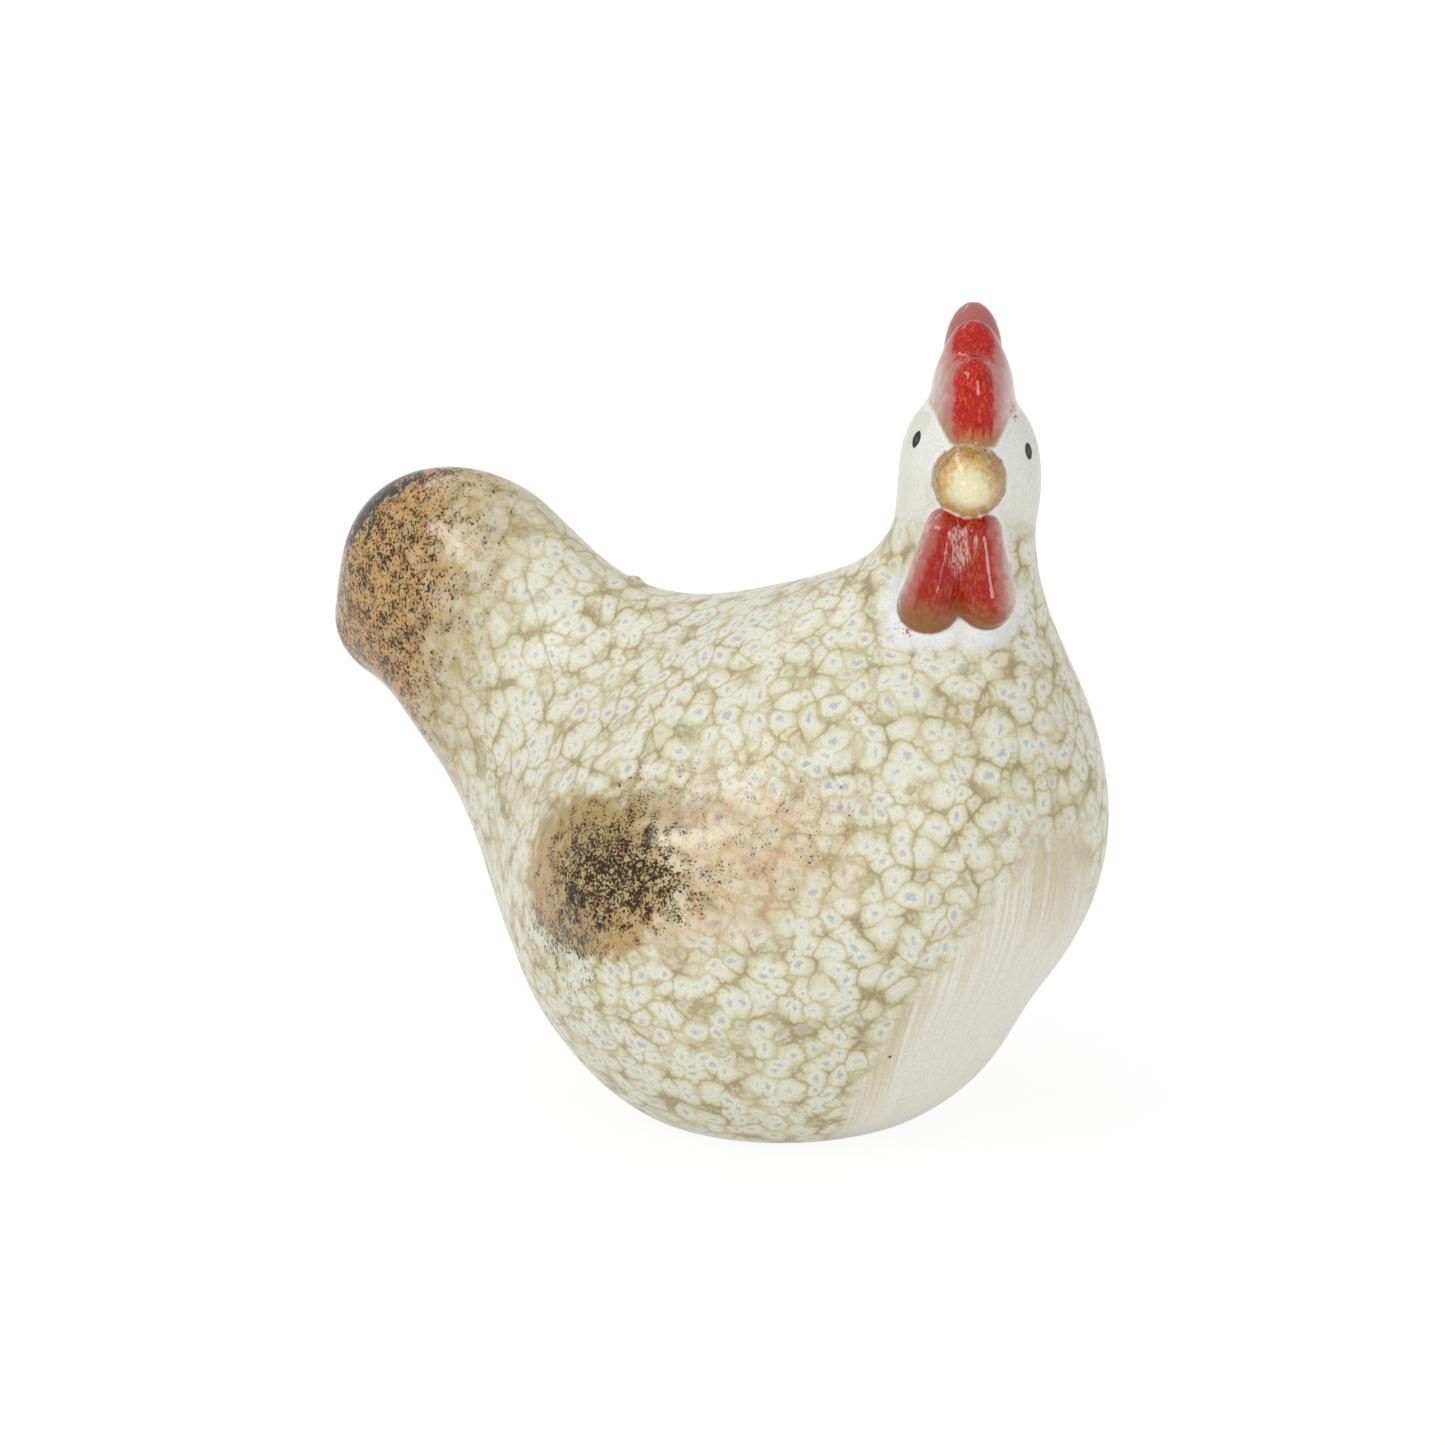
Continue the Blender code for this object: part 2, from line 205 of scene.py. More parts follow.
tail_flatness = 0.62
thin = node("ShaderNodeVectorMath", [place, (tail_flatness, 1, 1)], operation="DIVIDE")
paddle = form(rolled_bar, (0, 36.5, 64), (0, 75, 100.5), 33.5, 28, at=thin)
tail_end = form(rolled_bar, (0, 84.5, 105), (0, 98.5, 93.2), 20, 10, at=thin)
tail = join(paddle, tail_end, 9.5)
tail = node("ShaderNodeMath", [tail, (1 + tail_flatness) / 2], operation="MULTIPLY")

head_middle = (0, -42, 144)
neck = form(rolled_bar, (0, -39.5, 92.5), (0, -42, 132.5), 13, 13.4)
head = form(egg, head_middle, (13.5, 13.5, 13.5))
main_form = join(join(body, tail, 25), join(neck, head, 8), 26)


# The wings are low oval swellings of the mould itself, one on each flank, and a round patch
# stands a little proud on each side of the tail where it joins the back.


def swelling(middle, half_length, half_depth, slope, droop):
    """1 on an oval that is seen from the side, falling smoothly to 0 at its edge."""
    offset = node("ShaderNodeVectorMath", [place, middle], operation="SUBTRACT")
    offset = node("ShaderNodeVectorRotate", {"Vector": offset, "Angle": droop}, rotation_type="X_AXIS")
    flat = (0, 1 / half_length, 1 / half_depth)
    offset = node("ShaderNodeVectorMath", [offset, flat], operation="MULTIPLY")
    reach = node("ShaderNodeVectorMath", [offset], output="Value", operation="LENGTH")
    feeds = [reach, 1.0, 1 - slope / half_depth]
    return node("ShaderNodeMapRange", feeds, interpolation_type="SMOOTHSTEP")


wing_rise = 3.2
patch_rise = 0.9
wing = swelling((0, 1, 62.5), 40, 21.5, 15, radians(7))
patch = swelling((0, 66, 102), 16.5, 16.5, 9, 0)
shape = node("ShaderNodeMath", [wing, -wing_rise, main_form], operation="MULTIPLY_ADD")
shape = node("ShaderNodeMath", [patch, -patch_rise, shape], operation="MULTIPLY_ADD")


# The comb, the blunt beak and the two wattles are modelled on a head that is turned to the
# hen's right. Each is pressed on with a fine fillet of slip. The head's own place faces -Y.


def turned_head(turn, roll, shift):
    """The head's own place, to its left, to its back and up, from the middle of the head."""
    offset = node("ShaderNodeVectorMath", [place, head_middle], operation="SUBTRACT")
    offset = node("ShaderNodeVectorRotate", {"Vector": offset, "Angle": turn}, rotation_type="Z_AXIS")
    offset = node("ShaderNodeVectorRotate", {"Vector": offset, "Angle": -roll}, rotation_type="Y_AXIS")
    return node("ShaderNodeVectorMath", [offset, (shift, 0, 0)], operation="SUBTRACT")


comb_turn = radians(64.5)
face_turn = radians(62)
face_roll = radians(6.5)
comb_fillet = 2.2
face_fillet = 1.5

comb_place = turned_head(comb_turn, 0, 0.4)
comb = form(egg, (0, 0, 12), (8.4, 14.2, 10.8), at=comb_place)
for back, half_width, half_height, rise, lean in (
    (-9.2, 5.4, 13.5, 22.0, radians(9)),
    (0.0, 6.4, 11.0, 27.2, 0),
    (8.5, 6.0, 11.0, 29.2, radians(-9)),
):
    middle = (0, back, rise - half_height)
    leaning = {"Vector": comb_place, "Center": middle, "Angle": -lean}
    upright = node("ShaderNodeVectorRotate", leaning, rotation_type="X_AXIS")
    comb = join(comb, form(egg, middle, (half_width, 6, half_height), at=upright), comb_fillet)

face_place = turned_head(face_turn, face_roll, -0.5)
beak = form(rolled_bar, (0, -13.5, -2.7), (0, -20.5, -2.7), 7.1, 4.2, at=face_place)
left_wattle = form(rolled_bar, (3.4, -14.5, -13.5), (6.2, -16, -25.5), 4.5, 6, at=face_place)
right_wattle = form(rolled_bar, (-3.4, -14.5, -13.5), (-5, -16, -28), 4.5, 6, at=face_place)
wattles = join(left_wattle, right_wattle, face_fillet)

# A small burr of clay stands on the back, where the casting was fettled.
burr_fillet = 0.8
burr = form(egg, (3.0, 36.7, 108.2), (1.3, 2.0, 1.4))
shape = join(shape, burr, burr_fillet)
shape = join(shape, comb, comb_fillet)
shape = join(shape, beak, face_fillet)
shape = join(shape, wattles, face_fillet)


# The cast is trimmed and sponged flat at the foot, and a 10 mm vent is cut there with a tube,
# so that air can leave the hollow in the kiln.

sponged_off = 0.3
ground_size = (0.2, 0.3, 0.01)
tube_depth = 0.018
tube_sides = 64
crisp_edge = radians(40)

wall = size["Wall"]
ground_gap = node("ShaderNodeMath", [-sponged_off, height], operation="SUBTRACT")
cast = trim(shape, ground_gap, size["Foot edge"])
inner_gap = node("ShaderNodeMath", [wall, height], operation="SUBTRACT")
hollow = trim(node("ShaderNodeMath", [main_form, wall]), inner_gap, size["Foot edge"])
corners = [size["Low corner"], size["High corner"]]
skin = node("GeometryNodeGroup", [cast, *corners, size["Skin pitch"]], node_tree=skin_of_form)
core = node("GeometryNodeGroup", [hollow, *corners, size["Core pitch"]], node_tree=skin_of_form)
ground = node("GeometryNodeMeshCube", [ground_size])
under_foot = (0, 0, -ground_size[2] / 2)
ground = node("GeometryNodeTransform", {"Geometry": ground, "Translation": under_foot})
feeds = {"Vertices": tube_sides, "Radius": size["Vent radius"], "Depth": tube_depth}
tube = node("GeometryNodeMeshCylinder", feeds)
tube = node("GeometryNodeTransform", {"Geometry": tube, "Translation": size["Vent place"]})
hen = skin
for cutter in (core, ground, tube):
    hen = node("GeometryNodeMeshBoolean", {"Mesh 1": hen, "Mesh 2": cutter}, solver="MANIFOLD")

paint_guides = {
    "comb gap": ("FLOAT", comb),
    "beak gap": ("FLOAT", beak),
    "wattle gap": ("FLOAT", wattles),
    "comb place": ("FLOAT_VECTOR", comb_place),
    "face place": ("FLOAT_VECTOR", face_place),
}
for name, (kind, value) in paint_guides.items():
    feeds = {"Geometry": hen, "Name": name, "Value": value}
    hen = node("GeometryNodeStoreNamedAttribute", feeds, data_type=kind, domain="POINT")

hen = node("GeometryNodeSetShadeSmooth", {"Geometry": hen, "Shade Smooth": True}, domain="FACE")
edge_angle = node("GeometryNodeInputMeshEdgeAngle", output="Unsigned Angle")
crisp = node("FunctionNodeCompare", [edge_angle, crisp_edge], operation="GREATER_THAN")
feeds = {"Geometry": hen, "Selection": crisp, "Shade Smooth": False}
hen = node("GeometryNodeSetShadeSmooth", feeds, domain="EDGE")
hen = node("GeometryNodeRealizeInstances", [hen])
hen = node("GeometryNodeSetMaterial", {"Geometry": hen, "Material": size["Finish"]})
end_tree(casting, {"Hen": hen})


# Glazed earthenware: a greenish cream glaze, brushed on thickly and fired, which has drawn
# together into cells with a tan net between them, each cell pale round a blue-grey dot. It is
# satin, and glossier over the painted colours. Fine grain breaks up its highlights.

finish = bpy.data.materials.new("glazed earthenware, mottled cream")
finish.use_nodes = True
finish.node_tree.nodes.clear()
node = partial(add_node, finish.node_tree)
soft = {"interpolation_type": "SMOOTHSTEP"}


def fired_colour(code):
    """The linear colour of an sRGB hex code."""
    shares = [int(code[i : i + 2], 16) / 255 for i in (0, 2, 4)]
    return *(c / 12.92 if c <= 0.04045 else ((c + 0.055) / 1.055) ** 2.4 for c in shares), 1.0


def lay(coat, covers, colour, roughness=None):
    """Lays a colour over a coat, with its own gloss, where all of its covers lie."""
    tint, gloss = coat
    cover, *others = covers if isinstance(covers, list) else [covers]
    for other in others:
        cover = node("ShaderNodeMath", [cover, other], operation="MULTIPLY")
    colour = fired_colour(colour) if isinstance(colour, str) else colour
    tint = node("ShaderNodeMix", {0: cover, 6: tint, 7: colour}, output=2, data_type="RGBA")
    if roughness is not None:
        gloss = node("ShaderNodeMix", {0: cover, 2: gloss, 3: roughness}, data_type="FLOAT")
    return tint, gloss


def mottle(size, detail=2.0, stretch=(1, 1, 1), output="Fac"):
    """Cloudy variation about 0.5, with patches of this size in mm."""
    at = node("ShaderNodeMapping", {"Vector": where, "Scale": [s / size for s in stretch]})
    return node("ShaderNodeTexNoise", {"Vector": at, "Scale": 1.0, "Detail": detail}, output=output)


where = node("ShaderNodeTexCoord", output="Object")
where = node("ShaderNodeVectorMath", {0: where, "Scale": metre}, operation="SCALE")
across, back, up = node("ShaderNodeSeparateXYZ", [where]).node.outputs

grain = mottle(0.5, 3.0)
fibre = mottle(0.45, 2.0, stretch=(1, 1, 0.35))
fray = mottle(1.0, 2.0, output="Color")
coat = (fired_colour("E4E5DB"), 0.34)
coat = lay(coat, node("ShaderNodeMapRange", [mottle(14), 0.45, 0.62], **soft), "DCDECE")

on_head = node("ShaderNodeMath", [mottle(5), 12.0, up], operation="MULTIPLY_ADD")
on_head = node("ShaderNodeMapRange", [on_head, 131.0, 140.0], **soft)
on_body = node("ShaderNodeMath", [1.0, on_head], operation="SUBTRACT")

cell_width = 4.2
drift = mottle(8, 1.0, output="Color")
cell_at = node("ShaderNodeVectorMath", [drift, (6.0, 6.0, 6.0), where], operation="MULTIPLY_ADD")
cell_at = node("ShaderNodeVectorMath", [fray, (1.3, 1.3, 1.3), cell_at], operation="MULTIPLY_ADD")
cells = {"Vector": cell_at, "Scale": 1 / cell_width, "Randomness": 1.0}
edge_gap = node("ShaderNodeTexVoronoi", cells, feature="DISTANCE_TO_EDGE")
edge_gap = node("ShaderNodeMath", [grain, 0.16, edge_gap], operation="MULTIPLY_ADD")
seed = node("ShaderNodeTexVoronoi", cells, output="Position", feature="F1")
seed_size = node("ShaderNodeSeparateXYZ", [seed.node.outputs["Color"]])
out_from = seed.node.outputs["Distance"]
out_from = node("ShaderNodeMath", [grain, 0.24, out_from], operation="MULTIPLY_ADD")
normal = node("ShaderNodeNewGeometry", output="Normal")
from_seed = node("ShaderNodeVectorMath", [cell_at, seed], operation="SUBTRACT")
under = node("ShaderNodeVectorMath", [from_seed, normal], output="Value", operation="DOT_PRODUCT")
under = node("ShaderNodeVectorMath", {0: normal, "Scale": under}, operation="SCALE")
seed_gap = node("ShaderNodeVectorMath", [from_seed, under], output="Value", operation="DISTANCE")
seed_gap = node("ShaderNodeMath", [seed_size, 0.8, seed_gap], operation="MULTIPLY_ADD")
seed_gap = node("ShaderNodeMath", [grain, 1.3, seed_gap], operation="MULTIPLY_ADD")

coat = lay(coat, on_body, "DEDBC0")
between = node("ShaderNodeMapRange", [out_from, 0.54, 0.78], **soft)
coat = lay(coat, [between, 0.6, on_body], "D3CCA9")
broken = node("ShaderNodeMapRange", [mottle(6.0), 0.38, 0.58, 0.35, 1.0], **soft)
line = node("ShaderNodeMapRange", [edge_gap, 0.22, 0.09], **soft)
outer = node("ShaderNodeMapRange", [out_from, 0.50, 0.74], **soft)
coat = lay(coat, [line, outer, broken, 0.7, on_body], "B3A57E")
net = node("ShaderNodeMapRange", [out_from, 0.76, 0.98], **soft)
coat = lay(coat, [net, broken, 0.75, on_body], "B0A27B")
coat = lay(coat, [net, broken, line, outer, 0.5, on_body], "958460")
halo = node("ShaderNodeMapRange", [out_from, 0.66, 0.44], **soft)
coat = lay(coat, [halo, 0.7, on_body], "E4E6DA")
clear = node("ShaderNodeMapRange", [edge_gap, 0.12, 0.24], **soft)
dot = node("ShaderNodeMapRange", [seed_gap, 2.0, 1.1], **soft)
coat = lay(coat, [dot, clear, 0.8, on_body], "B2B8BA")


# The bib is a patch of cream slip on the breast, put on with a coarse brush in long strokes that
# run down towards the foot. Tan clay shows through between the strokes.

bib_height = 73.0
bib_bearing = radians(12)
bib_half_turn = radians(42)
bib_centre = node("ShaderNodeVectorMath", [where, (0, -5, 0)], operation="SUBTRACT")
round_body = node("ShaderNodeVectorMath", [bib_centre, (-1, -1, 0)], operation="MULTIPLY")
side, ahead, _ = node("ShaderNodeSeparateXYZ", [round_body]).node.outputs
bearing = node("ShaderNodeMath", [side, ahead], operation="ARCTAN2")
off_middle = node("ShaderNodeMath", [bearing, bib_bearing], operation="SUBTRACT")
off_middle = node("ShaderNodeMath", [off_middle, bib_half_turn], operation="DIVIDE")
fallen = node("ShaderNodeMath", [off_middle, off_middle], operation="MULTIPLY")
bib_top = node("ShaderNodeMath", [fallen, -bib_height, bib_height], operation="MULTIPLY_ADD")
below_top = node("ShaderNodeMath", [bib_top, up], operation="SUBTRACT")
stroke_place = node("ShaderNodeCombineXYZ", [bearing, 0.0, 0.0])
stroke_place = node("ShaderNodeVectorMath", [stroke_place, (60, 0, 0)], operation="MULTIPLY")
low_place = node("ShaderNodeVectorMath", [where, (0, 0, 0.035), stroke_place], operation="MULTIPLY_ADD")
strokes = node("ShaderNodeTexNoise", {"Vector": low_place, "Scale": 1 / 0.9, "Detail": 3.0})
wide_strokes = node("ShaderNodeTexNoise", {"Vector": low_place, "Scale": 1 / 5, "Detail": 1.0})
depth = below_top
below_top = node("ShaderNodeMath", [mottle(3), 8.0, below_top], operation="MULTIPLY_ADD")
below_top = node("ShaderNodeMath", [strokes, 16.0, below_top], operation="MULTIPLY_ADD")
below_top = node("ShaderNodeMath", [wide_strokes, 14.0, below_top], operation="MULTIPLY_ADD")
bib = node("ShaderNodeMapRange", [below_top, 14.0, 30.0], **soft)
streaked = node("ShaderNodeMapRange", [strokes, 0.38, 0.66], **soft)
fading = node("ShaderNodeMapRange", [depth, 34.0, 6.0, 0.3, 1.0], **soft)
slip = lay((fired_colour("EBE9DD"), 0.4), [streaked, fading], "D9D2BA")
near_edge = node("ShaderNodeMapRange", [depth, 30.0, 2.0], **soft)
wide_streak = node("ShaderNodeMapRange", [wide_strokes, 0.42, 0.62], **soft)
slip = lay(slip, [near_edge, wide_streak, 0.75], "CBBE98")
coat = lay(coat, [bib, 0.95], *slip)
stroke_relief = node("ShaderNodeMath", [streaked, bib], operation="MULTIPLY")
stroke_relief = node("ShaderNodeMath", [stroke_relief, -0.03], operation="MULTIPLY")


# The tail and the wings were sponged with iron oxide: ochre first, then dots of black that run
# into streaks where they lie thick. The colour thins out into the cream glaze. Along the upper rim
# of the tail's end the black specks crowd thickest, as painted shade where the rim turns away.


def specks(density, size, stretch=(1, 1, 1)):
    """Flecks of oxide in clumps: none at a density of 0, and half the surface at 1."""
    at = node("ShaderNodeVectorMath", [fray, (0.6, 0.6, 0.6), where], operation="MULTIPLY_ADD")
    at = node("ShaderNodeMapping", {"Vector": at, "Scale": [s / size for s in stretch]})
    fleck = node("ShaderNodeTexNoise", {"Vector": at, "Scale": 1.0, "Detail": 3.0, "Roughness": 0.65})
    fleck = node("ShaderNodeMath", [clumps, 0.28, fleck], operation="MULTIPLY_ADD")
    thick = node("ShaderNodeMath", [density, 0.30, fleck], operation="MULTIPLY_ADD")
    return node("ShaderNodeMapRange", [thick, 0.905, 0.97], **soft)


clumps = mottle(2.4, 2.0)
tail_start = node("ShaderNodeMath", [up, 100.0], operation="SUBTRACT")
tail_start = node("ShaderNodeMath", [tail_start, 0.0], operation="MINIMUM")
tail_start = node("ShaderNodeMath", [tail_start, 0.35, back], operation="MULTIPLY_ADD")
tail_start = node("ShaderNodeMath", [mottle(6), 22.0, tail_start], operation="MULTIPLY_ADD")
tail_paint = node("ShaderNodeMapRange", [tail_start, 61.0, 76.0], **soft)
tail_full = node("ShaderNodeMapRange", [tail_start, 72.0, 94.0], **soft)
ochre = (fired_colour("BFB48E"), 0.1)
ochre = lay(ochre, [tail_full, 0.95], "C69A5C")
ochre = lay(ochre, node("ShaderNodeMapRange", [mottle(4), 0.44, 0.62], **soft), "B59C68")
rusty = node("ShaderNodeMapRange", [mottle(2.2), 0.50, 0.66], **soft)
ochre = lay(ochre, [rusty, tail_full, 0.85], "C78646")
coat = lay(coat, [tail_paint, 0.55], ochre[0], 0.13)
coat = lay(coat, [tail_full, 0.88], *ochre)
tail_dark = node("ShaderNodeMath", [tail_full, 0.42, 0.48], operation="MULTIPLY_ADD")
tail_dark = node("ShaderNodeMath", [mottle(7), 0.6, tail_dark], operation="MULTIPLY_ADD")
tail_dark = node("ShaderNodeMath", [tail_dark, 0.30], operation="SUBTRACT")
tail_dark = node("ShaderNodeMath", [tail_dark, tail_paint], operation="MULTIPLY")
shadowed = node("ShaderNodeMapRange", [clumps, 0.46, 0.64], **soft)
coat = lay(coat, [shadowed, tail_dark, 0.55], "7C5F33")
coat = lay(coat, specks(tail_dark, 0.6, (1, 1, 0.8)), "33220F", 0.14)
# Black specks crowd along the upper rim of the tail's end: oxide specks, and painted shade where the
# rim turns away from the light.
rim_specks_and_shade = node("ShaderNodeMath", [back, up], operation="ADD")
rim_specks_and_shade = node("ShaderNodeMath", [mottle(2.5), 14.0, rim_specks_and_shade], operation="MULTIPLY_ADD")
rim_specks_and_shade = node("ShaderNodeMapRange", [rim_specks_and_shade, 210.0, 226.0], **soft)
rim_specks_and_shade = node("ShaderNodeMath", [rim_specks_and_shade, 1.5], operation="MULTIPLY")
coat = lay(coat, specks(rim_specks_and_shade, 0.7), "2C241F", 0.14)

flank = node("ShaderNodeMath", [across], operation="ABSOLUTE")
wing_place = node("ShaderNodeVectorMath", [where, (0, 0, 64)], operation="SUBTRACT")
feeds = {"Vector": wing_place, "Angle": radians(14)}
wing_place = node("ShaderNodeVectorRotate", feeds, rotation_type="X_AXIS")
on_flank = node("ShaderNodeMapRange", [flank, 34.0, 38.0], **soft)


def on_wing(middle, half_sizes, wobble=0.5, edge=(1.25, 0.75)):
    """A cloudy-edged patch on both wings, round a place that is back along the wing and up it."""
    offset = node("ShaderNodeVectorMath", [wing_place, (0, *middle)], operation="SUBTRACT")
    flat = (0, 1 / half_sizes[0], 1 / half_sizes[1])
    offset = node("ShaderNodeVectorMath", [offset, flat], operation="MULTIPLY")
    reach = node("ShaderNodeVectorMath", [offset], output="Value", operation="LENGTH")
    reach = node("ShaderNodeMath", [mottle(3.5), wobble * 2, reach], operation="MULTIPLY_ADD")
    reach = node("ShaderNodeMapRange", [reach, wobble + edge[0], wobble + edge[1]], **soft)
    return node("ShaderNodeMath", [reach, on_flank], operation="MULTIPLY")


wing_wash = on_wing((-4, 1), (36, 16), 0.6, (1.3, 0.6))
wing_rear = on_wing((15, 1), (20, 16), 0.28, (1.06, 0.9))
peach = (fired_colour("D9C29A"), 0.12)
peach = lay(peach, node("ShaderNodeMapRange", [mottle(5), 0.44, 0.6], **soft), "D6B088")
coat = lay(coat, [wing_wash, 0.6], *peach)
olive = (fired_colour("B39B66"), 0.1)
olive = lay(olive, node("ShaderNodeMapRange", [clumps, 0.45, 0.62], **soft), "C0904F")
coat = lay(coat, [wing_rear, 0.88], *olive)
# A darker olive band lies along the top of each wing, towards its rear.
top_olive = on_wing((10, 12), (22, 5), 0.4)
coat = lay(coat, [top_olive, 0.45], "A3925C", 0.1)
thick = on_wing((9, 0), (18, 10), 0.8, (1.6, 0.1))
thin = on_wing((13, -1), (25, 19), 0.5, (1.25, 0.5))
scattered = on_wing((-9, 6), (38, 17), 0.5, (1.3, 0.6))
darkness = node("ShaderNodeMath", [thick, 0.30], operation="MULTIPLY")
darkness = node("ShaderNodeMath", [thin, 0.36, darkness], operation="MULTIPLY_ADD")
darkness = node("ShaderNodeMath", [scattered, 0.50, darkness], operation="MULTIPLY_ADD")
browned = node("ShaderNodeMapRange", [clumps, 0.42, 0.62], **soft)
coat = lay(coat, [browned, darkness, 0.45], "7C5A2A")
blue = on_wing((22, -9), (16, 11), 0.6, (1.5, 0.3))
stray = on_wing((27, -27), (9, 8), 0.5, (1.4, 0.4))
blue = node("ShaderNodeMath", [stray, 0.5, blue], operation="MULTIPLY_ADD")
blue = node("ShaderNodeMath", [blue, 0.95], operation="MULTIPLY")
coat = lay(coat, specks(blue, 0.45, (1, 0.8, 0.4)), "55524B", 0.2)
coat = lay(coat, specks(darkness, 0.45, (1, 0.8, 0.8)), "24180B", 0.13)


# The head: the white glaze is left plain and pools round the beak, the comb and the wattles.
# Comb and wattles are a glossy red over pink, with ochre at the roots, and the beak is straw
# yellow. On the comb's flanks the pink is also a painted reflection of the white studio. The eyes
# are one touch of a black brush each, with a painted reflection in the middle of each.

gaps = {}
for name in ("comb gap", "beak gap", "wattle gap"):
    gaps[name] = node("ShaderNodeAttribute", output="Fac", attribute_name=name)
comb_at = node("ShaderNodeAttribute", output="Vector", attribute_name="comb place")
face_at = node("ShaderNodeAttribute", output="Vector", attribute_name="face place")
comb_left, comb_back, comb_up = node("ShaderNodeSeparateXYZ", [comb_at]).node.outputs
face_left, _, face_up = node("ShaderNodeSeparateXYZ", [face_at]).node.outputs

nearest = node("ShaderNodeMath", [gaps["comb gap"], gaps["beak gap"]], operation="MINIMUM")
nearest = node("ShaderNodeMath", [nearest, gaps["wattle gap"]], operation="MINIMUM")
nearest = node("ShaderNodeMath", [mottle(2), 2.0, nearest], operation="MULTIPLY_ADD")
pooled = node("ShaderNodeMapRange", [nearest, 2.9, 1.6], **soft)
coat = lay(coat, pooled, "ECEDE8", 0.3)
below = node("ShaderNodeMath", [mottle(3), 5.0, gaps["wattle gap"]], operation="MULTIPLY_ADD")
below = node("ShaderNodeMapRange", [below, 8.5, 5.0], **soft)
low_down = node("ShaderNodeMapRange", [face_up, -20.0, -27.0], **soft)
coat = lay(coat, [below, low_down, 0.85], "E9EBEA", 0.3)

comb_wide = node("ShaderNodeMath", [comb_left], operation="ABSOLUTE")
comb_wide = node("ShaderNodeMath", [mottle(1.8), 3.0, comb_wide], operation="MULTIPLY_ADD")
on_comb = node("ShaderNodeMapRange", [gaps["comb gap"], 0.9, 0.3], **soft)
comb_coat = (fired_colour("CBB3AB"), 0.06)
comb_pale = node("ShaderNodeMapRange", [mottle(2.2), 0.42, 0.6], **soft)
comb_coat = lay(comb_coat, comb_pale, "D2BDB5")
# Pink towards the comb's sides: the red thins over the edges, and the pink is partly a painted
# reflection of the white studio on the flanks.
comb_pink_and_sheen = node("ShaderNodeMapRange", [comb_wide, 9.4, 5.6], **soft)
comb_coat = lay(comb_coat, comb_pink_and_sheen, "BC7069")
comb_red = node("ShaderNodeMapRange", [comb_wide, 5.9, 4.9], **soft)
behind = node("ShaderNodeMath", [mottle(2), 6.0, comb_back], operation="MULTIPLY_ADD")
behind = node("ShaderNodeMapRange", [behind, 4.5, 8.5], **soft)
in_front = node("ShaderNodeMath", [1.0, behind], operation="SUBTRACT")
comb_red = node("ShaderNodeMath", [comb_red, in_front], operation="MULTIPLY")
comb_coat = lay(comb_coat, comb_red, "B6130A")
deeper = node("ShaderNodeMapRange", [mottle(1.6), 0.50, 0.68], **soft)
comb_coat = lay(comb_coat, [deeper, comb_red, 0.6], "820E09")
comb_coat = lay(comb_coat, [behind, 0.65], "A9655F")
orange = mottle(0.6, 3.0, stretch=(1, 1, 0.45))
orange_spots = node("ShaderNodeMapRange", [orange, 0.52, 0.68], **soft)
comb_coat = lay(comb_coat, [orange_spots, comb_red, 0.75], "D05C2A")
root_streaks = mottle(1.0, 2.0, stretch=(1, 1, 0.2))
comb_low = node("ShaderNodeMath", [root_streaks, 9.0, comb_up], operation="MULTIPLY_ADD")
comb_low = node("ShaderNodeMapRange", [comb_low, 13.5, 9.5], **soft)
comb_coat = lay(comb_coat, [comb_low, 0.8], "AD8A57")
comb_edge = node("ShaderNodeMath", [root_streaks, 10.0, comb_up], operation="MULTIPLY_ADD")
comb_edge = node("ShaderNodeMapRange", [comb_edge, 18.0, 12.0], **soft)
comb_rim = node("ShaderNodeMapRange", [comb_left, -4.0, -6.5], **soft)
comb_coat = lay(comb_coat, [comb_edge, comb_rim, 0.7], "A9854F")
comb_white = node("ShaderNodeMath", [mottle(1.2), 3.0, comb_up], operation="MULTIPLY_ADD")
comb_white = node("ShaderNodeMapRange", [comb_white, 5.6, 4.2], **soft)
comb_coat = lay(comb_coat, comb_white, "E3DFD6")
coat = lay(coat, on_comb, *comb_coat)

on_wattle = node("ShaderNodeMapRange", [gaps["wattle gap"], 0.7, 0.2], **soft)
drop = node("ShaderNodeMath", [face_up, 0.23, 2.3], operation="MULTIPLY_ADD")
wattle_wide = node("ShaderNodeMath", [face_left], operation="ABSOLUTE")
wattle_out = node("ShaderNodeMath", [wattle_wide, drop], operation="ADD")
wattle_out = node("ShaderNodeMath", [mottle(1.6), 2.6, wattle_out], operation="MULTIPLY_ADD")
wattle_pink = node("ShaderNodeMapRange", [wattle_out, 4.9, 6.9], **soft)
wattle_coat = lay((fired_colour("9E160F"), 0.06), wattle_pink, "B4695E")
wattle_white = node("ShaderNodeMapRange", [wattle_out, 6.8, 9.2], **soft)
wattle_coat = lay(wattle_coat, [wattle_white, 0.85], "D6C3B7")
wattle_orange = node("ShaderNodeMapRange", [orange, 0.47, 0.62], **soft)
inward = node("ShaderNodeMapRange", [wattle_out, 5.4, 3.4, 0.15, 0.75], **soft)
wattle_coat = lay(wattle_coat, [wattle_orange, inward], "A9502A")
middle = node("ShaderNodeVectorMath", [face_at, (-0.4, 0, -15.5)], operation="SUBTRACT")
middle = node("ShaderNodeVectorMath", [middle, (0.4, 0, 0.2)], operation="MULTIPLY")
middle = node("ShaderNodeVectorMath", [middle], output="Value", operation="LENGTH")
middle = node("ShaderNodeMath", [root_streaks, 3.0, middle], operation="MULTIPLY_ADD")
middle = node("ShaderNodeMapRange", [middle, 2.6, 1.9], **soft)
middle_spots = node("ShaderNodeMapRange", [orange, 0.60, 0.46, 0.0, 0.65], **soft)
wattle_coat = lay(wattle_coat, [middle, middle_spots], "D9BFB4")
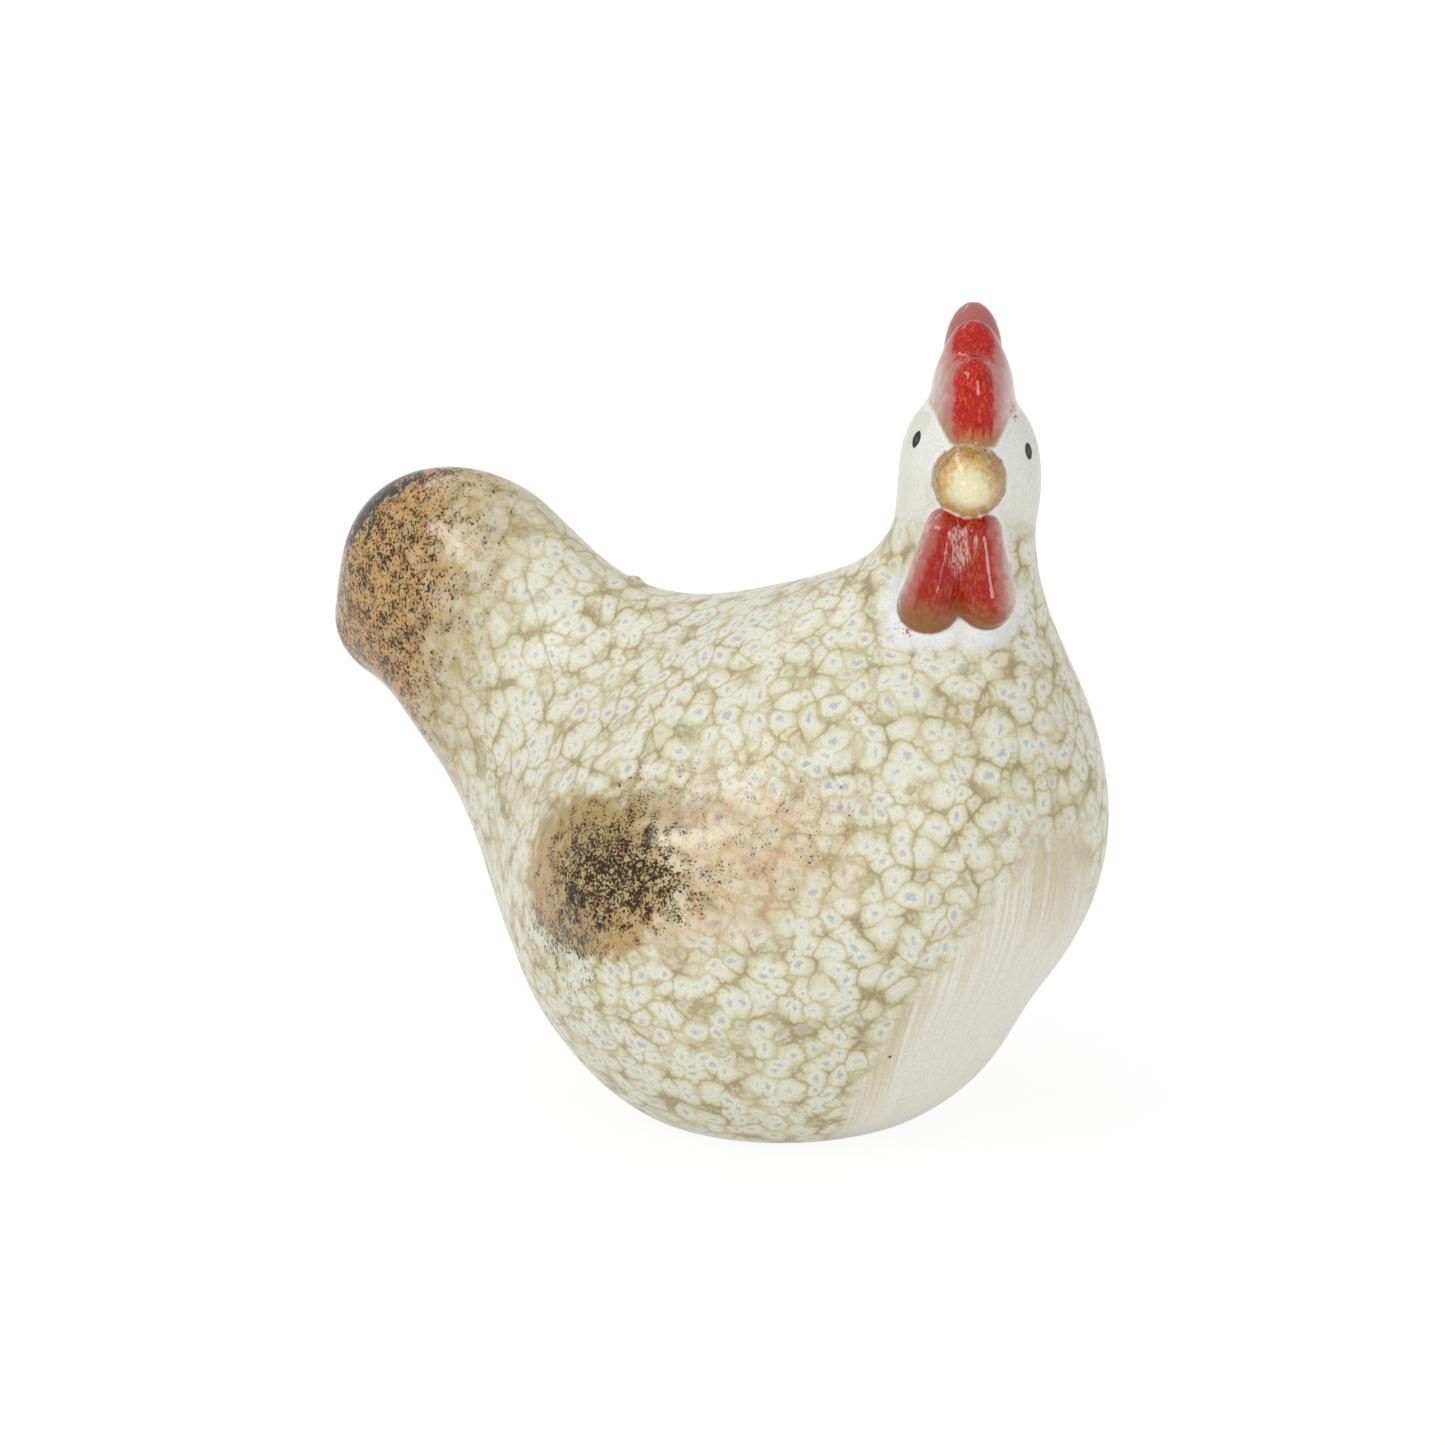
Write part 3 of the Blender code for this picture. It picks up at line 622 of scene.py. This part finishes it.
wattle_low = node("ShaderNodeMath", [mottle(1.5), 9.0, face_up], operation="MULTIPLY_ADD")
wattle_low = node("ShaderNodeMapRange", [wattle_low, -19.5, -27.0], **soft)
wattle_coat = lay(wattle_coat, [wattle_low, 0.85], "8E6B3E")
coat = lay(coat, on_wattle, *wattle_coat)

on_beak = node("ShaderNodeMath", [mottle(1.5), 1.2, gaps["beak gap"]], operation="MULTIPLY_ADD")
on_beak = node("ShaderNodeMapRange", [on_beak, 1.3, 0.7], **soft)
beak_off = node("ShaderNodeVectorMath", [face_at, (-0.5, 0, -3.0)], operation="SUBTRACT")
beak_off = node("ShaderNodeVectorMath", [beak_off, (1, 0, 0.88)], operation="MULTIPLY")
beak_out = node("ShaderNodeVectorMath", [beak_off], output="Value", operation="LENGTH")
beak_out = node("ShaderNodeMath", [mottle(1.3), 3.4, beak_out], operation="MULTIPLY_ADD")
beak_straw = node("ShaderNodeMapRange", [beak_out, 5.0, 6.6], **soft)
beak_coat = lay((fired_colour("EAE2B8"), 0.13), beak_straw, "D6B36C")
beak_ochre = node("ShaderNodeMapRange", [beak_out, 6.4, 8.2], **soft)
beak_coat = lay(beak_coat, beak_ochre, "B58B50")
beak_brown = node("ShaderNodeMapRange", [mottle(0.8, 3.0), 0.46, 0.64], **soft)
beak_rim = node("ShaderNodeMapRange", [beak_out, 6.6, 8.6], **soft)
beak_coat = lay(beak_coat, [beak_brown, beak_rim], "85643F")
coat = lay(coat, on_beak, *beak_coat)

eye_half_width = 1.25
eye_half_height = 2.2
eye_places = ((-11.0, -6.5, 3.0), (11.5, -7.4, 3.3))
# Each eye is black, with a smaller blue-grey almond in its middle that is a painted reflection.
for left, rear, rise in eye_places:
    for colour, share, shift in (("17181A", 1.0, 0.0), ("3C434B", 0.38, -0.3)):
        eye = (left, rear + shift, rise)
        offset = node("ShaderNodeVectorMath", [face_at, eye], operation="SUBTRACT")
        level = node("ShaderNodeVectorMath", [offset, (1, 1, 0)], operation="MULTIPLY")
        level = node("ShaderNodeVectorMath", [level], output="Value", operation="LENGTH")
        tall = node("ShaderNodeSeparateXYZ", [offset], output="Z")
        tall = node("ShaderNodeMath", [tall, eye_half_height * share], operation="DIVIDE")
        tall = node("ShaderNodeMath", [tall, tall], operation="MULTIPLY")
        wide = 1 / (eye_half_width * share)
        leaf = node("ShaderNodeMath", [level, wide, tall], operation="MULTIPLY_ADD")
        coat = lay(coat, node("ShaderNodeMapRange", [leaf, 1.12, 0.92], **soft), colour, 0.15)


# Marks left by the making: red spray off the brush under the wattles and beside the comb, a black
# speck low on the breast, a grey smudge under the wattles, and a fine hairline beside the tail.

spray = None
for spot, reach in (((-22.0, -38.5, 112.9), 3.6), ((-1.5, -52.5, 154.0), 3.4)):
    offset = node("ShaderNodeVectorMath", [where, spot], output="Value", operation="DISTANCE")
    near = node("ShaderNodeMapRange", [offset, reach, reach * 0.4], **soft)
    spray = near if spray is None else node("ShaderNodeMath", [spray, near], operation="MAXIMUM")
spray = node("ShaderNodeMath", [spray, 0.85], operation="MULTIPLY")
coat = lay(coat, [specks(spray, 0.7), 0.85], "B5283A", 0.2)

speck = node("ShaderNodeVectorMath", [where, (-31, -40.5, 25.5)], output="Value", operation="DISTANCE")
coat = lay(coat, node("ShaderNodeMapRange", [speck, 0.42, 0.25]), "2A2622", 0.3)
smudge_place = (-20.5, -50.7, 104.8)
smudge = node("ShaderNodeVectorMath", [where, smudge_place], output="Value", operation="DISTANCE")
smudge = node("ShaderNodeMath", [grain, 1.6, smudge], operation="MULTIPLY_ADD")
coat = lay(coat, node("ShaderNodeMapRange", [smudge, 2.6, 1.4, 0.0, 0.6], **soft), "A39F94")

hair_back = node("ShaderNodeMath", [up, 0.62, -14.9], operation="MULTIPLY_ADD")
hair_back = node("ShaderNodeMath", [mottle(5), 2.4, hair_back], operation="MULTIPLY_ADD")
hair_off = node("ShaderNodeMath", [back, hair_back], operation="SUBTRACT")
hair = node("ShaderNodeMath", [hair_off], operation="ABSOLUTE")
hair = node("ShaderNodeMapRange", [hair, 0.45, 0.15], **soft)
hair_side = node("ShaderNodeMapRange", [across, -8.0, -9.0])
hair_start = node("ShaderNodeMapRange", [up, 92.0, 93.5])
hair_end = node("ShaderNodeMapRange", [up, 112.5, 111.5])
coat = lay(coat, [hair, hair_side, hair_start, hair_end, 0.5], "A19A86")


# The foot was wiped clean before the glaze was fired, so that the hen wouldn't stick to the kiln
# shelf, and shows dry pale clay. The rest of the surface has a fine grain in its glaze.

bare = node("ShaderNodeMapRange", [up, 0.5, 0.15], **soft)
coat = lay(coat, bare, "D9CDB6", 0.85)
tint, gloss = coat
fine = node("ShaderNodeMath", [grain, fibre], operation="ADD")
shade = node("ShaderNodeMapRange", [fine, 0.7, 1.3, 0.92, 1.09])
tint = node("ShaderNodeVectorMath", {0: tint, "Scale": shade}, operation="SCALE")
relief = node("ShaderNodeMath", [grain, 0.02, stroke_relief], operation="MULTIPLY_ADD")
relief = node("ShaderNodeMath", [clumps, 0.06, relief], operation="MULTIPLY_ADD")
bump = node("ShaderNodeBump", {"Strength": 0.5, "Distance": 0.001, "Height": relief})
glaze = {"Base Color": tint, "Roughness": gloss, "Normal": bump, "Specular IOR Level": 0.3}
surface = node("ShaderNodeBsdfPrincipled", glaze)
end = finish.node_tree.nodes.new("ShaderNodeOutputMaterial")
finish.node_tree.links.new(surface, end.inputs["Surface"])

glazed_hen = bpy.data.objects.new("glazed_hen", bpy.data.meshes.new("glazed_hen"))
bpy.context.scene.collection.objects.link(glazed_hen)
cast_settings = {
    "Low corner": (-66, -75, -4),
    "High corner": (66, 112, 178),
    "Skin pitch": 1.05,
    "Core pitch": 2.5,
    "Wall": 4.5,
    "Foot edge": 3.0,
    "Vent radius": 0.005,
    "Vent place": (0, 0.012, 0),
    "Finish": finish,
}
modelling = glazed_hen.modifiers.new("casting", "NODES")
modelling.node_group = casting
for socket in casting.interface.items_tree:
    if socket.name in cast_settings:
        modelling[socket.identifier] = cast_settings[socket.name]
evaluated = glazed_hen.evaluated_get(bpy.context.evaluated_depsgraph_get())
mesh = bpy.data.meshes.new_from_object(evaluated)
glazed_hen.modifiers.remove(modelling)
glazed_hen.data = mesh

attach(glazed_hen, "root")
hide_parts("hen")


# The studio: a sweep of matt white paper, which shows plain white with a soft shadow under the
# hen, and soft fill all round. A broad lamp stands on the left, a small one beside the camera on
# the right and a long one behind.

floor_mesh = bpy.data.meshes.new("floor")
half = 3
floor_corners = [(-half, -half, 0), (half, -half, 0), (half, half, 0), (-half, half, 0)]
floor_mesh.from_pydata(floor_corners, [], [(0, 1, 2, 3)])
floor = bpy.data.objects.new("floor", floor_mesh)
bpy.context.scene.collection.objects.link(floor)
paper = bpy.data.materials.new("matt white paper")
paper.use_nodes = True
paper.node_tree.nodes.clear()
node = partial(add_node, paper.node_tree)
matt = node("ShaderNodeBsdfDiffuse", [fired_colour("FBFBFA")])
bright = node("ShaderNodeEmission", {"Color": (1, 1, 1, 1), "Strength": 1.04})
where = node("ShaderNodeTexCoord", output="Object")
away = node("ShaderNodeVectorMath", [where], output="Value", operation="LENGTH")
faint = node("ShaderNodeMapRange", [away, 0.06, 0.20, 0.88, 1.0])
seen = node("ShaderNodeLightPath", output="Is Camera Ray")
reflected = node("ShaderNodeLightPath", output="Is Glossy Ray")
seen = node("ShaderNodeMath", [seen, reflected], operation="MAXIMUM")
seen = node("ShaderNodeMath", [seen, faint], operation="MULTIPLY")
mixed = node("ShaderNodeMixShader", [seen, matt, bright])
end = paper.node_tree.nodes.new("ShaderNodeOutputMaterial")
paper.node_tree.links.new(mixed, end.inputs["Surface"])
floor_mesh.materials.append(paper)

world = bpy.data.worlds.new("white studio")
bpy.context.scene.world = world
world.use_nodes = True
world.node_tree.nodes.clear()
node = partial(add_node, world.node_tree)
seen = node("ShaderNodeLightPath", output="Is Camera Ray")
for ray in ("Is Glossy Ray", "Is Transmission Ray"):
    seen = node("ShaderNodeMath", [seen, node("ShaderNodeLightPath", output=ray)], operation="MAXIMUM")
strength = node("ShaderNodeMapRange", [seen, 0.0, 1.0, 0.53, 1.0])
sky = node("ShaderNodeBackground", {"Color": (1, 1, 1, 1), "Strength": strength})
end = world.node_tree.nodes.new("ShaderNodeOutputWorld")
world.node_tree.links.new(sky, end.inputs["Surface"])

view_turn = radians(-62)
view_rise = radians(15)
view_right = Vector((cos(view_turn), sin(view_turn), 0))
view_away = Vector((-sin(view_turn), cos(view_turn), 0))
view_ahead = cos(view_rise) * view_away - sin(view_rise) * Vector((0, 0, 1))
view_up = view_right.cross(view_ahead)
camera_distance = 1.0
aim = Vector((0, 0, 0.060)) - 0.01253 * view_right + 0.02207 * view_up
camera_data = bpy.data.cameras.new("camera")
camera_data.sensor_width = 36
camera_data.lens = 119.2
camera = bpy.data.objects.new("camera", camera_data)
camera.location = aim - camera_distance * view_ahead
camera.rotation_euler = view_ahead.to_track_quat("-Z", "Y").to_euler()
bpy.context.scene.collection.objects.link(camera)
bpy.context.scene.camera = camera

lamp_aim = Vector((0, 0, 0.08))
for name, side, front, rise, (width, depth), watts in (
    ("lamp_left", -0.9, 0.7, 0.9, (0.75, 0.26), 5.8),
    ("lamp_right", 0.45, 1.1, 0.45, (0.26, 0.36), 3.0),
    ("lamp_back", -0.5, -0.6, 1.1, (0.6, 0.16), 1.7),
):
    lamp_data = bpy.data.lights.new(name, "AREA")
    lamp_data.shape = "RECTANGLE"
    lamp_data.size = width
    lamp_data.size_y = depth
    lamp_data.energy = watts
    lamp = bpy.data.objects.new(name, lamp_data)
    lamp.location = side * view_right - front * view_away + Vector((0, 0, rise))
    lamp.rotation_euler = (lamp_aim - lamp.location).to_track_quat("-Z", "Y").to_euler()
    bpy.context.scene.collection.objects.link(lamp)

bpy.context.scene.view_settings.view_transform = "Standard"
